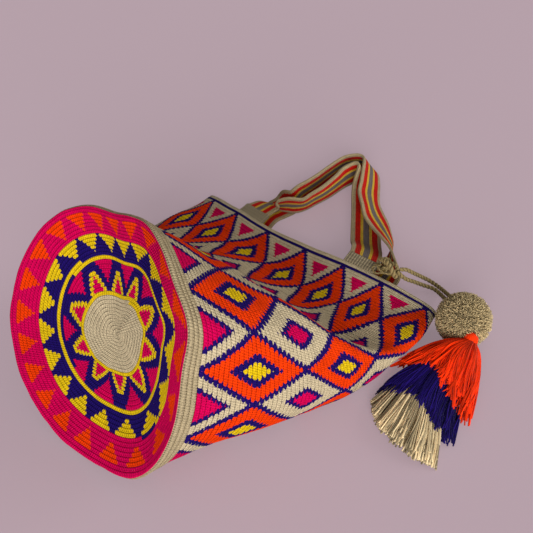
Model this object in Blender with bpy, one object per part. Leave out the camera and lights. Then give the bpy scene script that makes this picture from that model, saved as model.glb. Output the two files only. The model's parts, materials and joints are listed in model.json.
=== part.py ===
"""A crocheted tote bag lying on its side, soft and half collapsed, with two woven handles and a pompom charm.

Metres, +Z up. The bag lies on the plane z = 0, its base disc leans back at the -X end, and its flattened
mouth opens towards +X. Guide points are in centimetres, chosen by hand, and CM turns them into metres.
"""
import math

import bmesh
import bpy
from mathutils import Vector

CM = 0.01

# Driving sizes in metres
REPEATS = 12                # diamonds round the bag
BASE_RADIUS = 0.1185        # the crocheted base disc
BASE_OVAL = 0.005           # how far the soft base is from round
BASE_FLAT = 0.0085          # how far its upper edge is pressed flat
BASE_WARP = 0.009           # how far its edge leaves one plane
BASE_HEIGHT = 0.094         # height of the middle of the base edge
BASE_LEAN = 35.5            # degrees that the base leans back
BASE_TURN = 12.8            # degrees that it turns about Z
BASE_DISH = 0.028           # how far the middle of the base is pushed in
BASE_DRAG = 0.004           # how far the middle is dragged up towards the upper edge
CREST_LIFT = 0.010          # how far the slope's crest stands up beside the tip
CREST_SINK = 0.012          # how far the upper layer dips behind the crest
WALL = 0.003                # thickness of the crochet
LAYER_GAP = 0.006           # room that the flattened layers keep at the folds
TOUCH = 0.0004              # gap between pieces that touch
HANDLE_WIDTH = 0.034
HANDLE_THICK = 0.0024
TAB_LENGTH = 0.014
TAB_THICK = 0.0036
CORD_DIAMETER = 0.0044
KNOT_TUBE = 0.0034
KNOT_REACH = 0.0097         # from the knot's middle to the middle of its loops
POMPOM_RADIUS = 0.027
POMPOM_FLUFF = 0.0012
TASSEL_DEPTH = 0.009        # thickness of one tier of tassel yarn
TASSEL_KNOT = 0.006         # radius of the tassel's head
TASSEL_STEP = 0.0092        # steps in which the tiers are laid outwards
TASSEL_TURN = 6.0           # degrees between the steps round the fan

# Where the wall rows lie, in repeats up the wall from the base rows to the rim rows
EDGE_ROW = -0.13
RIM_ROW = 3.18
GUIDE_ROWS = (EDGE_ROW, 1.0, 2.0, 2.5, RIM_ROW)
STEPS = 6                   # mesh steps in one repeat
DISC_SHARES = (0.15, 0.3, 0.34, 0.42, 0.5, 0.58, 0.62, 0.7, 0.785, 0.86, 0.95)

# Guide points at the twelve repeats, from the near fold over the top to the far fold and back underneath
TIP_ROW = ((13.7, -19.0, 4.2), (14.6, -13.9, 4.1), (15.2, -9.2, 3.6), (16.2, -3.9, 3.3),
           (17.2, 1.8, 3.0), (17.2, 7.4, 2.2), (16.6, 11.8, 1.3), (15.0, 7.4, 0.2),
           (13.0, 2.0, 0.2), (12.2, -4.0, 0.2), (12.4, -10.0, 0.2), (12.9, -17.2, 0.9))
RIM_GUIDE = ((23.2, -19.6, 1.4), (23.7, -14.2, 1.8), (23.6, -9.6, 2.3), (24.0, -4.6, 1.7),
             (24.6, 0.8, 1.2), (25.6, 6.2, 0.9), (26.4, 11.2, 0.8), (24.8, 6.2, 0.2),
             (23.4, 1.0, 0.2), (22.6, -4.4, 0.2), (22.4, -10.0, 0.2), (22.6, -15.4, 0.2))
# How far the row halfway down the slope bows away from the straight line between base and tip row
SLOPE_BOW = ((0.4, -0.8, -0.6), (0.2, -0.6, 0.9), (0.0, -0.4, 0.2), (-0.4, 0.0, -0.8),
             (-0.5, 0.0, -1.0), (-0.3, 0.3, -0.8), (0.0, 0.6, -0.3), (0.0, 0.4, -0.4),
             (0.0, 0.0, 0.0), (0.0, 0.0, 0.0), (0.0, 0.0, -0.8), (0.3, -1.2, -0.9))
UPPER_SAG = (-0.7, -0.5, -0.9)  # how the upper layer sags between tip row and rim

# Where the handles meet the rim, in repeats round it
FRONT_TABS = ((5.0, 4.3), (1.35, 2.1))
BACK_TABS = ((7.8, 7.1), (10.3, 10.95))

# Each handle stands on edge and runs from its left tab to its right tab. A place of its lower edge comes first,
# then a place that its upper edge points to.
FRONT_ROUTE = (((28.3, 5.3, 1.3), (27.7, 2.3, 2.0)), ((28.8, 4.1, 0.9), (27.4, 2.1, 2.9)),
               ((28.9, 2.9, 0.65), (27.5, 1.8, 3.5)), ((29.2, 1.9, 0.6), (28.1, 1.1, 3.7)),
               ((29.75, 1.1, 0.45), (28.6, 0.6, 3.5)), ((30.9, 0.6, 0.25), (29.4, -0.1, 3.2)),
               ((32.4, 0.1, 0.25), (30.8, -0.4, 3.2)), ((34.2, -0.5, 0.25), (32.6, -0.8, 3.2)),
               ((36.6, -1.0, 0.25), (35.1, -1.0, 3.2)), ((38.0, -1.5, 0.25), (36.7, -1.0, 3.3)),
               ((39.5, -2.1, 0.25), (38.2, -1.6, 3.3)), ((39.4, -3.3, 0.25), (38.1, -2.3, 3.0)),
               ((37.5, -5.0, 0.22), (35.9, -3.2, 1.9)), ((35.8, -6.4, 0.2), (34.3, -3.9, 1.3)),
               ((33.6, -7.8, 0.2), (32.3, -4.9, 1.1)), ((31.4, -9.1, 0.25), (30.0, -6.2, 1.1)),
               ((29.4, -10.3, 0.6), (28.0, -7.3, 1.4)), ((27.4, -11.5, 1.5), (26.7, -8.3, 2.2)))
BACK_ROUTE = (((27.3, 2.2, 0.25), (27.8, 5.5, 0.3)), ((28.5, 1.8, 0.22), (29.5, 4.9, 0.4)),
              ((29.7, 1.3, 0.22), (30.7, 4.1, 0.9)), ((31.0, 1.6, 0.22), (31.5, 3.3, 2.5)),
              ((32.6, 2.6, 0.22), (31.9, 1.9, 3.2)), ((34.8, 1.9, 0.22), (33.7, 1.1, 3.1)),
              ((37.0, 1.6, 0.22), (36.0, 0.8, 3.1)), ((39.6, 0.9, 0.22), (38.5, 0.2, 3.1)),
              ((41.1, -0.2, 0.22), (39.8, -0.8, 3.1)), ((41.6, -1.7, 0.25), (40.0, -1.6, 3.1)),
              ((40.9, -3.3, 0.3), (39.4, -2.1, 3.1)), ((38.9, -4.7, 0.6), (36.6, -3.4, 2.7)),
              ((37.1, -5.7, 0.8), (34.6, -4.3, 2.5)), ((35.4, -6.7, 0.85), (32.7, -5.8, 2.6)),
              ((34.2, -7.9, 0.85), (31.3, -7.0, 2.3)), ((33.1, -9.1, 0.8), (30.1, -8.6, 2.3)),
              ((31.8, -10.2, 0.75), (29.0, -10.3, 2.6)), ((30.3, -11.2, 0.7), (27.8, -12.1, 2.8)),
              ((28.7, -11.9, 0.5), (26.9, -13.8, 2.5)), ((27.2, -12.2, 0.3), (26.5, -15.3, 1.0)),
              ((25.7, -11.9, 0.25), (25.1, -15.1, 0.8)))

# The charm: knot on the right tab, two strands of cord, pompom and tassel
KNOT_CENTRE = (25.2, -13.39, 2.9)
POMPOM_PLACE = (22.8, -22.7)
# Places between the knot and the pompom
UPPER_CORD = ((26.0, -15.1, 2.6), (26.6, -15.7, 1.9), (27.3, -16.2, 1.1), (27.8, -17.0, 0.45),
              (27.5, -18.3, 0.4), (26.4, -19.7, 1.1))
LOWER_CORD = ((25.1, -15.4, 2.2), (25.7, -16.1, 1.3), (26.4, -16.8, 0.5), (26.8, -17.7, 0.3),
              (26.4, -18.8, 0.45), (25.5, -19.9, 1.0))
CORD_ENDS = ((0.26, (2.3, 1.9, -0.3)), (-0.26, (1.9, 2.2, -1.1)))
CORD_POINTS = 14
TASSEL_HEAD = (20.8, -24.2)
TASSEL_START = 100.0        # degrees in plan of the fan's first side
# Cream, navy and orange tier: first and last step outwards, first and last step round
TIERS = ((5, 12, 8, 16), (2, 9, 6, 17), (0, 6, 0, 19))

COLOURS = {
    "orange": (0.86, 0.11, 0.01),
    "magenta": (0.66, 0.01, 0.11),
    "navy": (0.02, 0.01, 0.10),
    "yellow": (0.78, 0.56, 0.03),
    "cream": (0.58, 0.49, 0.33),
    "red": (0.56, 0.02, 0.01),
    "grey": (0.19, 0.16, 0.15),
}


def material(name, roughness=0.85):
    made = bpy.data.materials.get(name)
    if made:
        return made
    made = bpy.data.materials.new(name)
    made.use_nodes = True
    shader = made.node_tree.nodes["Principled BSDF"]
    shader.inputs["Base Color"].default_value = (*COLOURS[name], 1.0)
    shader.inputs["Roughness"].default_value = roughness
    shader.inputs["Metallic"].default_value = 0.0
    made.diffuse_color = (*COLOURS[name], 1.0)
    return made


def add_object(name, bm, colours, smooth=True):
    bmesh.ops.recalc_face_normals(bm, faces=bm.faces)
    mesh = bpy.data.meshes.new(name)
    bm.to_mesh(mesh)
    bm.free()
    for colour in colours:
        mesh.materials.append(material(colour))
    mesh.polygons.foreach_set("use_smooth", [smooth] * len(mesh.polygons))
    made = bpy.data.objects.new(name, mesh)
    bpy.context.scene.collection.objects.link(made)
    return made


def lift(point):
    """Keeps the middle of the crochet half its thickness above the ground."""
    return Vector((point.x, point.y, max(point.z, WALL / 2)))


def base_axes():
    lean = math.radians(BASE_LEAN)
    turn = math.radians(BASE_TURN)
    out = Vector((-math.cos(lean) * math.cos(turn), math.cos(lean) * math.sin(turn), math.sin(lean)))
    side = Vector((math.sin(turn), math.cos(turn), 0.0))
    return out, side, out.cross(side) * (1 if out.cross(side).z > 0 else -1)


def base_edge(u):
    """The edge of the base at u repeats round the bag: an oval that leaves its plane twice."""
    out, side, rise = base_axes()
    angle = 2 * math.pi * (u / REPEATS) + math.radians(20)
    wave = 2 * math.pi * 2 * u / REPEATS
    radius = BASE_RADIUS + BASE_OVAL * math.cos(wave - 2 * math.pi * 0.9)
    radius -= BASE_FLAT * math.exp(-(((u % REPEATS) - 3.1) / 1.0) ** 2)
    point = Vector((-0.005, 0.0, BASE_HEIGHT))
    point += radius * (math.sin(angle) * rise - math.cos(angle) * side)
    return lift(point + BASE_WARP * math.cos(wave - 2 * math.pi * 0.125) * out)


def guide_point(row, index):
    """A guide point of one row, in metres."""
    return Vector(row[index % REPEATS]) * CM


def along_row(row, u):
    """A smooth closed curve through the guide points of one row."""
    index = math.floor(u)
    t = u - index
    a, b, c, d = (guide_point(row, index + k) for k in (-1, 0, 1, 2))
    point = 0.5 * (2 * b + (c - a) * t + (2 * a - 5 * b + 4 * c - d) * t ** 2 + (3 * b - a - 3 * c + d) * t ** 3)
    return point


def fold_room(u):
    """Blunts the two side folds: up for the upper layer, down for the lower one."""
    across = math.sin(2 * math.pi * u / REPEATS)
    return math.copysign(LAYER_GAP, across) * (1 - (1 - abs(across)) ** 4)


def guide(row_index, u):
    """The guide rows: base edge, halfway down the slope, tip row, between tip and rim, rim."""
    if row_index == 0:
        return base_edge(u)
    tip = along_row(TIP_ROW, u) + Vector((0, 0, 0.5 * fold_room(u)))
    if row_index == 2:
        return lift(tip)
    if row_index == 1:
        return lift(0.48 * base_edge(u) + 0.52 * tip + along_row(SLOPE_BOW, u))
    rim = along_row(RIM_GUIDE, u) + Vector((0, 0, fold_room(u)))
    if row_index == 4:
        return lift(rim)
    upper = max(0.0, math.sin(2 * math.pi * u / REPEATS))
    return lift(0.5 * (tip + rim) + upper * Vector(UPPER_SAG) * CM)


def crest(u, v):
    """The crest that runs from the base's upper edge to the tip, and the dip behind it."""
    past = (u + REPEATS / 2) % REPEATS - REPEATS / 2 + v - 2
    along = max(0.0, 1 - ((v - 1.55) / 0.75) ** 2)
    ridge = math.exp(-(past / 0.3) ** 2)
    dip = math.exp(-((past - 0.75) / 0.45) ** 2)
    return along * (CREST_LIFT * ridge - CREST_SINK * dip)


def wall_point(u, v):
    """The middle of the crochet at u repeats round the bag and v repeats up from the base."""
    rows = [guide(k, u) for k in range(len(GUIDE_ROWS))]
    spans = [GUIDE_ROWS[k + 1] - GUIDE_ROWS[k] for k in range(len(rows) - 1)]
    slopes = [(rows[k + 1] - rows[k]) / spans[k] for k in range(len(spans))]
    k = max(i for i in range(len(spans)) if v >= GUIDE_ROWS[i] - 1e-6)

    def slope_at(i):
        if i == 0:
            return slopes[0]
        if i == len(rows) - 1:
            return slopes[-1]
        return (slopes[i - 1] * spans[i] + slopes[i] * spans[i - 1]) / (spans[i - 1] + spans[i])

    t = (v - GUIDE_ROWS[k]) / spans[k]
    start, end = slope_at(k) * spans[k], slope_at(k + 1) * spans[k]
    point = (2 * t ** 3 - 3 * t ** 2 + 1) * rows[k] + (t ** 3 - 2 * t ** 2 + t) * start
    point += (3 * t ** 2 - 2 * t ** 3) * rows[k + 1] + (t ** 3 - t ** 2) * end
    return lift(point + Vector((0, 0, crest(u, v))))


def base_point(share, u):
    """The base disc from its middle, at share 0, to its edge, at share 1."""
    out, side, rise = base_axes()
    middle = Vector((-0.005, 0.0, BASE_HEIGHT))
    flat = middle + (base_edge(u) - middle) * share
    return lift(flat + (BASE_DRAG * rise - BASE_DISH * out) * (1 - share ** 1.8))


def wall_colour(u, v):
    """Diamonds: orange ones round a yellow middle, cream ones round a magenta middle, navy between."""
    if v < 0 or v > 3:
        return "cream"
    across, up = abs(u - round(u)), abs(v - math.floor(v) - 0.5)
    if across + up < 0.5:
        return ("yellow", "navy", "orange")[min(2, int((across + up) * STEPS))]
    reach = 1 - across - up
    return ("magenta", "navy", "cream")[min(2, int(reach * STEPS))]


def tooth(count, turn):
    """0 on the axis of one of count teeth round the base, 1 halfway to the next."""
    return 2 * abs((count * turn) % 1 - 0.5)


def base_colour(share, u):
    """Rings of the base: cream middle, star, yellow teeth on navy, orange teeth on magenta."""
    turn = u / REPEATS
    if share < 0.3:
        return "cream"
    if share < 0.34 or 0.58 < share < 0.62:
        return "yellow"
    if share < 0.58:
        past = tooth(9, turn) - 1 + (share - 0.34) / 0.24
        return "magenta" if past < -0.3 or past > 0.6 else "yellow" if past < 0 else "navy"
    if share < 0.785:
        return "yellow" if tooth(18, turn) < (share - 0.62) / 0.165 else "navy"
    return "orange" if share < 0.95 and tooth(18, turn) < (share - 0.785) / 0.2 else "magenta"


def crochet_body():
    """Base, wall and rim are crocheted in one, so they are one thick skin with its mouth open."""
    colours = ("cream", "orange", "navy", "yellow", "magenta")
    bm = bmesh.new()
    around = REPEATS * STEPS
    rows = [EDGE_ROW, EDGE_ROW / 2] + [k / STEPS for k in range(3 * STEPS + 1)] + [RIM_ROW]
    places = [[wall_point(i / STEPS, v) for i in range(around)] for v in rows]
    grid = [[bm.verts.new(point) for point in row] for row in places]
    disc = [[bm.verts.new(base_point(share, i / STEPS)) for i in range(around)] for share in DISC_SHARES]
    middle = bm.verts.new(base_point(0.0, 0.0))

    def add(a, b, c, colour):
        face = bm.faces.new((a, b, c))
        face.material_index = colours.index(colour)

    for j in range(len(rows) - 1):
        for i in range(around):
            k = (i + 1) % around
            a, b, c, d = grid[j][i], grid[j][k], grid[j + 1][k], grid[j + 1][i]
            low, high = rows[j], rows[j + 1]
            left, right = i / STEPS, (i + 1) / STEPS
            rising = (int(2 * left + 1e-6) + int(2 * max(low, 0) + 1e-6)) % 2 == 1
            if rising:
                add(a, b, d, wall_colour((2 * left + right) / 3, (2 * low + high) / 3))
                add(b, c, d, wall_colour((left + 2 * right) / 3, (low + 2 * high) / 3))
            else:
                add(a, b, c, wall_colour((left + 2 * right) / 3, (2 * low + high) / 3))
                add(a, c, d, wall_colour((2 * left + right) / 3, (low + 2 * high) / 3))
    rings = disc + [grid[0]]
    shares = DISC_SHARES + (1.0,)
    for j in range(len(rings) - 1):
        low, high = shares[j], shares[j + 1]
        for i in range(around):
            k = (i + 1) % around
            near, far = (2 * low + high) / 3, (low + 2 * high) / 3
            add(rings[j][k], rings[j][i], rings[j + 1][i], base_colour(near, (i + 0.33) / STEPS))
            add(rings[j][k], rings[j + 1][i], rings[j + 1][k], base_colour(far, (i + 0.67) / STEPS))
    for i in range(around):
        add(disc[0][(i + 1) % around], middle, disc[0][i], "cream")
    body = add_object("crochet_body", bm, colours)
    thick = body.modifiers.new("thickness", "SOLIDIFY")
    thick.thickness = WALL
    thick.offset = 0.0
    return body


def slab(name, left, right, up, thickness, stripes):
    """A band between two rows of points, thickened along the directions in up, with coloured stripes."""
    bm = bmesh.new()
    count = len(left)
    strips = len(stripes)
    faces = []
    for side in (0.5, -0.5):
        rows = []
        for k in range(count):
            shift = up[k] * thickness * side
            rows.append([bm.verts.new(left[k].lerp(right[k], s / strips) + shift) for s in range(strips + 1)])
        faces.append(rows)
    colours = sorted(set(stripes))
    top, bottom = faces

    def quad(a, b, c, d, stripe):
        face = bm.faces.new((a, b, c, d))
        face.material_index = colours.index(stripes[stripe])

    for k in range(count - 1):
        for s in range(strips):
            quad(top[k][s], top[k][s + 1], top[k + 1][s + 1], top[k + 1][s], s)
            quad(bottom[k][s], bottom[k + 1][s], bottom[k + 1][s + 1], bottom[k][s + 1], s)
        quad(top[k][0], top[k + 1][0], bottom[k + 1][0], bottom[k][0], 0)
        quad(top[k][-1], bottom[k][-1], bottom[k + 1][-1], top[k + 1][-1], strips - 1)
    for s in range(strips):
        quad(top[0][s], bottom[0][s], bottom[0][s + 1], top[0][s + 1], s)
        quad(top[-1][s], top[-1][s + 1], bottom[-1][s + 1], bottom[-1][s], s)
    return add_object(name, bm, colours)


def rim_frame(u):
    """The rim's edge, the way the wall runs out of it, and the wall's upward normal."""
    edge = wall_point(u, RIM_ROW)
    out = (edge - wall_point(u, RIM_ROW - 0.2))
    out.z = 0.0
    out.normalize()
    return edge, out, Vector((0, 0, 1))


def tab(name, ends):
    """A crocheted tab that carries one end of a handle, from the rim outwards."""
    left, right, up = [], [], []
    count = 5
    for k in range(count):
        edge, out, normal = rim_frame(ends[0] + (ends[1] - ends[0]) * k / (count - 1))
        left.append(edge + out * TOUCH)
        right.append(edge + out * (TOUCH + TAB_LENGTH))
        up.append(normal)
    return slab(name, left, right, up, TAB_THICK, ("cream", "cream"))


def tab_end(ends):
    """Where a handle starts, just past its tab: its lower edge and the way its width points."""
    tips = []
    for u in ends:
        edge, out, normal = rim_frame(u)
        tips.append(edge + out * (2 * TOUCH + TAB_LENGTH))
    across = (tips[1] - tips[0]).normalized()
    return (tips[0] + tips[1] - across * HANDLE_WIDTH) / 2, across


def smooth_path(points, count):
    """A smooth open curve through the points, as count points."""
    path = []
    last = len(points) - 1
    for k in range(count):
        place = last * k / (count - 1)
        i = min(int(place), last - 1)
        t = place - i
        b, c = points[i], points[i + 1]
        a = points[i - 1] if i else 2 * b - c
        d = points[i + 2] if i + 2 <= last else 2 * c - b
        path.append(0.5 * (2 * b + (c - a) * t + (2 * a - 5 * b + 4 * c - d) * t ** 2
                           + (3 * b - a - 3 * c + d) * t ** 3))
    return path


def handle(name, tabs, route):
    """A woven band from one tab to the other, with its width kept along the whole route."""
    start, start_across = tab_end(tabs[0])
    end, end_across = tab_end(tabs[1])
    lower = [start] + [Vector(place) * CM for place, top in route] + [end]
    across = [start_across] + [(Vector(top) - Vector(place)).normalized() for place, top in route] + [end_across]
    count = 2 * len(lower) - 1
    path = smooth_path(lower, count)
    ways = [way.normalized() for way in smooth_path(across, count)]
    left, right, up = [], [], []
    for k in range(count):
        ahead = path[min(k + 1, count - 1)] - path[max(k - 1, 0)]
        left.append(path[k])
        right.append(path[k] + ways[k] * HANDLE_WIDTH)
        up.append(ways[k].cross(ahead).normalized())
    for k, near in ((0, 1), (-1, -2)):
        up[k] = Vector((0, 0, math.copysign(1, up[near].z)))
    stripes = ("cream", "red", "yellow", "grey", "yellow", "red", "cream")
    return slab(name, left, right, up, HANDLE_THICK, stripes)


def charm_knot():
    """The cord's knot on the right tab: one closed turn of cord that passes over and under itself."""
    bm = bmesh.new()
    centre = Vector(KNOT_CENTRE) * CM
    turns, sides = 48, 8
    loop = []
    for k in range(turns):
        a = 2 * math.pi * k / turns
        loop.append(centre + Vector(((math.sin(a) + 1.7 * math.sin(2 * a)) * KNOT_REACH / 2.7,
                                     (math.cos(a) - 1.7 * math.cos(2 * a)) * KNOT_REACH / 2.7,
                                     -math.sin(3 * a) * (KNOT_TUBE / 2 + 2 * TOUCH))))
    rings = []
    for k in range(turns):
        ahead = (loop[(k + 1) % turns] - loop[k - 1]).normalized()
        one = ahead.cross(Vector((0, 0, 1))).normalized()
        two = ahead.cross(one)
        rings.append([bm.verts.new(loop[k] + KNOT_TUBE / 2 * (math.cos(2 * math.pi * s / sides) * one
                                                             + math.sin(2 * math.pi * s / sides) * two))
                      for s in range(sides)])
    for k in range(turns):
        for s in range(sides):
            t = (s + 1) % sides
            bm.faces.new((rings[k][s], rings[k][t], rings[(k + 1) % turns][t], rings[(k + 1) % turns][s]))
    return add_object("charm_knot", bm, ("cream",))


def charm_cord(name, route, ends):
    """One strand of the charm's twisted cord, from the knot's loop, over the ground, to the pompom."""
    offset, way = ends
    start = Vector(KNOT_CENTRE) * CM + Vector((offset * CM, -KNOT_REACH - KNOT_TUBE / 2 - TOUCH, 0))
    ball = Vector((POMPOM_PLACE[0] * CM, POMPOM_PLACE[1] * CM, POMPOM_RADIUS + TOUCH))
    end = ball + Vector(way).normalized() * (POMPOM_RADIUS + TOUCH)
    places = [start, start + Vector((0, -2 * TOUCH, 0))] + [Vector(place) * CM for place in route]
    places += [end + Vector(way).normalized() * 2 * TOUCH, end]
    curve = bpy.data.curves.new(name, "CURVE")
    curve.dimensions = "3D"
    curve.bevel_depth = CORD_DIAMETER / 2
    curve.bevel_resolution = 2
    curve.use_fill_caps = True
    spline = curve.splines.new("POLY")
    points = [places[0]] + smooth_path(places[1:-1], CORD_POINTS - 2) + [places[-1]]
    spline.points.add(CORD_POINTS - 1)
    for k, point in enumerate(points):
        spline.points[k].co = (*point, 1.0)
    curve.materials.append(material("cream"))
    made = bpy.data.objects.new(name, curve)
    bpy.context.scene.collection.objects.link(made)
    return made


def pompom():
    """A ball of cut yarn, a little uneven, resting on the ground."""
    bm = bmesh.new()
    bmesh.ops.create_icosphere(bm, subdivisions=3, radius=1.0)
    for vert in bm.verts:
        x, y, z = vert.co
        rough = math.sin(11 * x + 3 * z) * math.sin(9 * y - 4 * x) * math.cos(10 * z + 2 * y)
        vert.co = vert.co * (POMPOM_RADIUS + POMPOM_FLUFF * rough)
        vert.co.z = max(vert.co.z, -POMPOM_RADIUS)
        vert.co += Vector((POMPOM_PLACE[0] * CM, POMPOM_PLACE[1] * CM, POMPOM_RADIUS + TOUCH))
    return add_object("pompom", bm, ("cream",))


def tier_depth(tier, step, turn):
    """Depth of one tier of yarn at a place of the fan: step outwards, turn round from its first side."""
    near, far, first, last = TIERS[tier]
    if step < near or step > far or turn < first or turn > last:
        return 0.0
    swell = min(1.0, 0.45 + 0.3 * (step - near))
    thin = 1.0 - 0.5 * ((step - near) / (far - near)) ** 2
    side = abs(2 * (turn - first) / (last - first) - 1)
    if near == 0:
        swell = 1.0 + 0.9 * math.exp(-step / 1.5)
    return TOUCH + TASSEL_DEPTH * swell * thin * (1.0 - 0.55 * side ** 3)


def tassel_tier(name, tier, colour):
    """One tier of the tassel: yarn that comes from under the next tier and fans out, with a ragged end."""
    bm = bmesh.new()
    near, far, first, last = TIERS[tier]
    head = Vector((TASSEL_HEAD[0] * CM, TASSEL_HEAD[1] * CM, 0.0))
    top, low = [], []
    for turn in range(first, last + 1):
        angle = math.radians(TASSEL_START + TASSEL_TURN * turn)
        way = Vector((math.cos(angle), math.sin(angle), 0.0))
        upper, lower = [], []
        for step in range(near, far + 1):
            reach = step + (0.3 * (turn % 2) if step == far else 0.0)
            place = head + way * (TASSEL_KNOT + TASSEL_STEP * reach)
            under = sum(tier_depth(k, reach, turn) for k in range(tier))
            lower.append(bm.verts.new(place + Vector((0, 0, under + TOUCH))))
            upper.append(bm.verts.new(place + Vector((0, 0, under + tier_depth(tier, step, turn)))))
        top.append(upper)
        low.append(lower)
    wide, long = last - first, far - near
    for i in range(wide):
        for j in range(long):
            bm.faces.new((top[i][j], top[i][j + 1], top[i + 1][j + 1]))
            bm.faces.new((top[i][j], top[i + 1][j + 1], top[i + 1][j]))
            bm.faces.new((low[i][j], low[i + 1][j + 1], low[i][j + 1]))
            bm.faces.new((low[i][j], low[i + 1][j], low[i + 1][j + 1]))
        bm.faces.new((top[i][0], top[i + 1][0], low[i + 1][0], low[i][0]))
        bm.faces.new((top[i][-1], low[i][-1], low[i + 1][-1], top[i + 1][-1]))
    for j in range(long):
        bm.faces.new((top[0][j], low[0][j], low[0][j + 1], top[0][j + 1]))
        bm.faces.new((top[-1][j], top[-1][j + 1], low[-1][j + 1], low[-1][j]))
    return add_object(name, bm, (colour,), smooth=False)


for old in list(bpy.data.objects):
    bpy.data.objects.remove(old)
crochet_body()
tab("front_left_tab", FRONT_TABS[0])
tab("front_right_tab", FRONT_TABS[1])
tab("back_left_tab", BACK_TABS[0])
tab("back_right_tab", BACK_TABS[1])
handle("front_handle", FRONT_TABS, FRONT_ROUTE)
handle("back_handle", BACK_TABS, BACK_ROUTE)
charm_knot()
charm_cord("charm_cord_upper", UPPER_CORD, CORD_ENDS[0])
charm_cord("charm_cord_lower", LOWER_CORD, CORD_ENDS[1])
pompom()
for level, (tier_name, tier_colour) in enumerate(
        (("cream_tassel", "cream"), ("navy_tassel", "navy"), ("orange_tassel", "orange"))):
    tassel_tier(tier_name, level, tier_colour)
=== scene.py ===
import functools
import json
import math
import random

import bmesh
import bpy
from mathutils import Matrix, Vector, noise
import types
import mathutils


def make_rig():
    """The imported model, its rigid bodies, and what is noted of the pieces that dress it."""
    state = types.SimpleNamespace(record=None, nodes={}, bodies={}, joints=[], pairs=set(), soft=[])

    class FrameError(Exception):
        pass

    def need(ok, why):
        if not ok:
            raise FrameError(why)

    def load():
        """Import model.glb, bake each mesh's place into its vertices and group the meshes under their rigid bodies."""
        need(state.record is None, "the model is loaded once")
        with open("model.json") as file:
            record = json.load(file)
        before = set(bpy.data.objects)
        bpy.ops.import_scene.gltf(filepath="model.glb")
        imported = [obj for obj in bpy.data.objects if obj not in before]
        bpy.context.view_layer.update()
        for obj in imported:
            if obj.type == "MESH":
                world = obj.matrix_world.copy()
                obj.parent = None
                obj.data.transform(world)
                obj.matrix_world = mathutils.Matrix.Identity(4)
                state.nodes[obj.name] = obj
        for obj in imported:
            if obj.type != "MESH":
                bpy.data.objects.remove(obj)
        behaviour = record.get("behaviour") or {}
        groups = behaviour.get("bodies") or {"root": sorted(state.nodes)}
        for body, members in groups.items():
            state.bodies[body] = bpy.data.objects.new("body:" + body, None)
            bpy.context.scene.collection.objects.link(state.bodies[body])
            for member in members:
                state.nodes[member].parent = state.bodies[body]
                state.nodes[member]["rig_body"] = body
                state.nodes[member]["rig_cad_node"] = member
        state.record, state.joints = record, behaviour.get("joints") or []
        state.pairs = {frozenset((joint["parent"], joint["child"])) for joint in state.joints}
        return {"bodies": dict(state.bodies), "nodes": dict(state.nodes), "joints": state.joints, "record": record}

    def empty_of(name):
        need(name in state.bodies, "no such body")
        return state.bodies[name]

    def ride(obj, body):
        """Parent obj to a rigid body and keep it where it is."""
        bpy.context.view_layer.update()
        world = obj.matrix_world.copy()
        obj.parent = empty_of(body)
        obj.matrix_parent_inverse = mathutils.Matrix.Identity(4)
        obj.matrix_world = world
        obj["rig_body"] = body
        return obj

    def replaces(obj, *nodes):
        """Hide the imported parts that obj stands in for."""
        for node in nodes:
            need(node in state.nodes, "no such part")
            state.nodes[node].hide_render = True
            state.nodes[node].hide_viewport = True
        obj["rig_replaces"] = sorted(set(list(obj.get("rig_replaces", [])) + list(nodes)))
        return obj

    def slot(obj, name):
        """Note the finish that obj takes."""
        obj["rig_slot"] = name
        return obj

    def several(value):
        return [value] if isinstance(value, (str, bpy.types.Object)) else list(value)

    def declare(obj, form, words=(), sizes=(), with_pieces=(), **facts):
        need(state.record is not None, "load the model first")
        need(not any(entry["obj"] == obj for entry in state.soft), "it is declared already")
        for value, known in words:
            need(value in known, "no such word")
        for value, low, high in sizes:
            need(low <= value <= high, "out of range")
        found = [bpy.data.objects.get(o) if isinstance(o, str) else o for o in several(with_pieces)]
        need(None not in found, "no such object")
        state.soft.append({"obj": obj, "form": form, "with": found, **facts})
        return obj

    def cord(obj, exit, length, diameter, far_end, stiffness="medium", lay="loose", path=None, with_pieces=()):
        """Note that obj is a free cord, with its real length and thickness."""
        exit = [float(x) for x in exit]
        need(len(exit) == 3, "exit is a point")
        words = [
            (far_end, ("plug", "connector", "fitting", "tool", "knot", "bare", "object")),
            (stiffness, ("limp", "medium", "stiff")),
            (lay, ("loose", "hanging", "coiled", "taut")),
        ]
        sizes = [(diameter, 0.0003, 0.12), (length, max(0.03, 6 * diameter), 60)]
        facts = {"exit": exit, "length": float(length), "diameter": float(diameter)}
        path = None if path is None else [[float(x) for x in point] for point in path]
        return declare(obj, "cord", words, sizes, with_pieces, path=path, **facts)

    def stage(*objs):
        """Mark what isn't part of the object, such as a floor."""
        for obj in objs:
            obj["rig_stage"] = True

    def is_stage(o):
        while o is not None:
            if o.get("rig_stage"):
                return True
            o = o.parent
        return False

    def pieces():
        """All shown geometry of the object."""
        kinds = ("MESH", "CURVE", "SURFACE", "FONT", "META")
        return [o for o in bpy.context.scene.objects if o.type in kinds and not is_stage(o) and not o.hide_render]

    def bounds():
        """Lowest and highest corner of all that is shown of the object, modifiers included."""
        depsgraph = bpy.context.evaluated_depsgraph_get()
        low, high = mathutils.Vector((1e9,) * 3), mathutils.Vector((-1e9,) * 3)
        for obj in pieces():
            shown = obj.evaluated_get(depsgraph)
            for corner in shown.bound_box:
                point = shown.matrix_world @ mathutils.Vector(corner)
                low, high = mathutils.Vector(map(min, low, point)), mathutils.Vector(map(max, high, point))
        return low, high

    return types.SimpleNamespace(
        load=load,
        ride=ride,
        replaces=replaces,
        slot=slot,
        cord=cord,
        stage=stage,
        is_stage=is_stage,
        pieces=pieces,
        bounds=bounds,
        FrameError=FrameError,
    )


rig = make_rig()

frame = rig.load()
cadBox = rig.bounds()
cm = 0.01
mm = 0.001
random.seed(11)


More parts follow.
